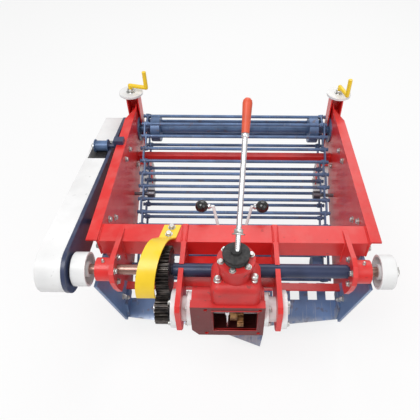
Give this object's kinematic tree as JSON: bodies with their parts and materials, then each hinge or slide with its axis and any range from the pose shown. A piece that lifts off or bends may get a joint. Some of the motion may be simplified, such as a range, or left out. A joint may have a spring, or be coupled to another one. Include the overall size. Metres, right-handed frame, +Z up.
{
  "type": "potato harvester",
  "caption": "Small potato harvester for a walking tractor, with a red frame, a digging shovel, a sloping chain of steel rods, a belt drive and height-adjustable rear wheels.",
  "frame": {"origin": "middle of the gearbox's hitch face, where it bolts to the walking tractor", "axes": "+X to the right as seen from the tractor, +Y to the rear along the travel line, +Z up"},
  "size_m": [0.87, 0.9242, 0.78],
  "materials": {
    "red_paint": "gloss",
    "gearbox_paint": "gloss",
    "blue_steel": "satin",
    "dark_blue_paint": "satin",
    "shaft_steel": "machined",
    "dark_steel": "machined",
    "gear_steel": "oiled",
    "yellow_paint": "gloss",
    "white_paint": "satin",
    "black_rubber": "matte",
    "black_plastic": "gloss",
    "orange_grip": "satin"
  },
  "bodies": {
    "harvester": {"side_plate_right": "red_paint", "side_plate_left": "red_paint", "cross_beam": "red_paint", "rear_cross_tube": "red_paint", "lower_cross_bar": "red_paint", "gearbox_arm_left": "red_paint", "gearbox_arm_right": "red_paint", "cradle_plate": "red_paint", "shaft_bracket_right": "red_paint", "shaft_bracket_left": "red_paint", "gearbox_body": "gearbox_paint", "gearbox_cap": "gearbox_paint", "lever_boot": "black_rubber", "clutch_lever": "shaft_steel", "lever_grip": "orange_grip", "output_flange_left": "white_paint", "output_flange_right": "white_paint", "gear_guard": "yellow_paint", "knob_levers": "white_paint", "lever_knobs": "black_plastic", "belt_tray": "dark_blue_paint", "belt_cover": "white_paint", "drive_belt": "black_rubber", "driven_pulley": "dark_steel", "tension_roller": "blue_steel", "roller_bracket": "dark_blue_paint", "rod_conveyor": "blue_steel", "conveyor_drive_axle": "blue_steel", "conveyor_front_axle": "blue_steel", "support_rollers": "dark_steel", "shovel": "blue_steel", "share_point": "blue_steel", "shovel_arm_right": "blue_steel", "shovel_arm_left": "blue_steel", "post_right": "red_paint", "post_left": "red_paint", "screw_discs": "white_paint", "hand_cranks": "yellow_paint"},
    "cross_shaft_body": {"cross_shaft": "shaft_steel", "shaft_gear": "gear_steel", "end_drum_right": "white_paint", "end_drum_left": "white_paint", "drive_pulley": "dark_steel"},
    "output_shaft_body": {"output_shaft": "shaft_steel", "pinion_gear": "gear_steel", "hitch_gear": "gear_steel"},
    "leg_right_body": {"leg_right": "red_paint"},
    "leg_left_body": {"leg_left": "red_paint"},
    "wheel_right_body": {"wheel_right": "white_paint"},
    "wheel_left_body": {"wheel_left": "white_paint"}
  },
  "joints": [
    {"name": "cross_shaft_spin", "type": "hinge", "parent": "harvester", "child": "cross_shaft_body", "pos_m": [0, 0.117, 0.043], "axis": [1, 0, 0], "continuous": true},
    {"name": "output_shaft_spin", "type": "hinge", "parent": "harvester", "child": "output_shaft_body", "pos_m": [0, 0.03882, -0.00454], "axis": [1, 0, 0], "continuous": true},
    {"name": "leg_right_slide", "type": "slide", "parent": "harvester", "child": "leg_right_body", "axis": [0, 0, 1], "range_m": [-0.03, 0.05]},
    {"name": "leg_left_slide", "type": "slide", "parent": "harvester", "child": "leg_left_body", "axis": [0, 0, 1], "range_m": [-0.03, 0.05]},
    {"name": "wheel_right_spin", "type": "hinge", "parent": "leg_right_body", "child": "wheel_right_body", "pos_m": [0.363, 0.832, -0.28684], "axis": [1, 0, 0], "continuous": true},
    {"name": "wheel_left_spin", "type": "hinge", "parent": "leg_left_body", "child": "wheel_left_body", "pos_m": [-0.363, 0.832, -0.28684], "axis": [1, 0, 0], "continuous": true}
  ],
  "couplings": [
    {"joint": "output_shaft_spin", "follows": "cross_shaft_spin", "ratio": -1.6522}
  ]
}
